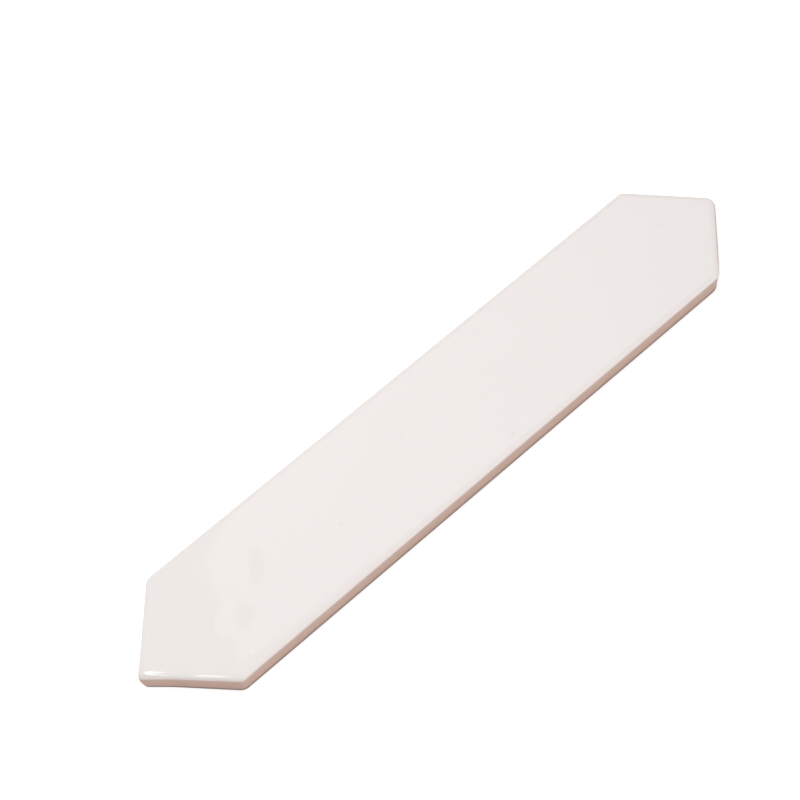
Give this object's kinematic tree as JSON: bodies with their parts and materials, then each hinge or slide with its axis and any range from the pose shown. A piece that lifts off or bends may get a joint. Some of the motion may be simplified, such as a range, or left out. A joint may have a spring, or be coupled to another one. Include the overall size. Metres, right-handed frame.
{
  "type": "ceramic wall tile",
  "caption": "Long glazed wall tile, pointed at both ends, with a softly rounded glazed edge and a keyed back.",
  "frame": {"origin": "the middle of the back, on the plane that the tile lies on", "axes": "+X along the tile from tip to tip, +Y across it, +Z out of the glazed face"},
  "size_m": [0.25, 0.046, 0.0095],
  "materials": {
    "glazed_clay": "gloss white glaze over the face and its rounded edge, bare pinkish fired clay on the sides and back"
  },
  "bodies": {
    "root": {"tile": "glazed_clay"}
  },
  "joints": []
}
